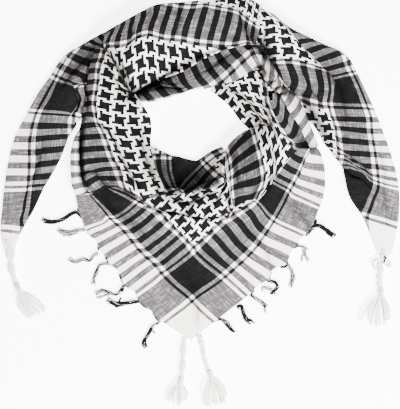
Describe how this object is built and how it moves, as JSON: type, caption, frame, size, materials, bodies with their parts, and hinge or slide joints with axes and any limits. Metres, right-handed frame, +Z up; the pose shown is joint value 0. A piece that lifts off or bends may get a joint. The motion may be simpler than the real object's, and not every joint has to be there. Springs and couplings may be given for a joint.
{
  "type": "keffiyeh headscarf",
  "caption": "Square woven cotton headscarf folded on the diagonal and laid flat as worn: fringed front, soft folds round the open neck, two tails with corner tassels.",
  "frame": {"origin": "centre of the laid-out scarf, on the surface it rests on", "axes": "+Z up from the surface, +Y towards the back of the neck, -Y towards the fringed front point, +X towards the right tail as seen from above"},
  "size_m": [0.5164, 0.5253, 0.0255],
  "materials": {
    "woven_cotton": "soft plain and twill woven cotton, black and off-white threads",
    "dark_fringe_yarn": "loose warp and weft ends, knotted in locks, black and off-white",
    "white_tassel_yarn": "off-white twisted cotton yarn"
  },
  "bodies": {
    "root": {"front": "woven_cotton", "front_lower_half": "woven_cotton", "cowl": "woven_cotton", "inner_cowl": "woven_cotton", "left_rise": "woven_cotton", "right_rise": "woven_cotton", "back_band": "woven_cotton", "turned_margin": "woven_cotton", "top_band": "woven_cotton", "left_tail": "woven_cotton", "right_tail": "woven_cotton", "ring_folds": "woven_cotton", "left_tail_folds": "woven_cotton", "right_tail_folds": "woven_cotton", "left_fringe": "dark_fringe_yarn", "right_fringe": "dark_fringe_yarn", "front_left_tassel": "white_tassel_yarn", "front_right_tassel": "white_tassel_yarn", "left_tail_tassel": "white_tassel_yarn", "right_tail_tassel": "white_tassel_yarn"}
  },
  "joints": []
}
